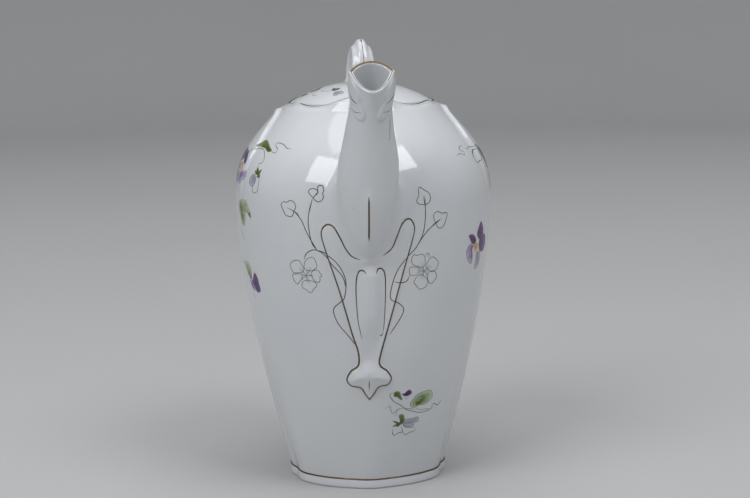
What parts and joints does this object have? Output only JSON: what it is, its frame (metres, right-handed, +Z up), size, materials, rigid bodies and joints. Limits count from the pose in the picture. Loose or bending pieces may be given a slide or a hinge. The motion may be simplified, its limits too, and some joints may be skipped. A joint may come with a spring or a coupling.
{
  "type": "chocolate pot",
  "caption": "Tall porcelain chocolate pot with an ovoid body, a slender spout, a strap handle and a domed lift-off lid with a loop finial, for serving hot drinks.",
  "frame": {"origin": "centre of the foot, on the surface that the pot stands on", "axes": "+Z up along the body's middle, -Y towards the spout, +Y towards the handle, +X to the right of someone who faces the spout"},
  "size_m": [0.1266, 0.1941, 0.2183],
  "materials": {
    "porcelain": "clear gloss glaze over white porcelain",
    "gilding": "thin worn gold lines fired on the glaze",
    "enamel": "painted violets and leaves fired on the glaze"
  },
  "bodies": {
    "pot": {"body_shell": "porcelain", "foot_ring": "porcelain", "gallery_ring": "porcelain", "spout": "porcelain", "spout_relief": "porcelain", "handle": "porcelain"},
    "lid": {"lid_dome": "porcelain", "lid_collar": "porcelain", "lid_finial": "porcelain"}
  },
  "joints": [
    {"name": "lid_lift", "type": "slide", "parent": "pot", "child": "lid", "axis": [0, 0, 1], "range_m": [0, 0.05]}
  ]
}
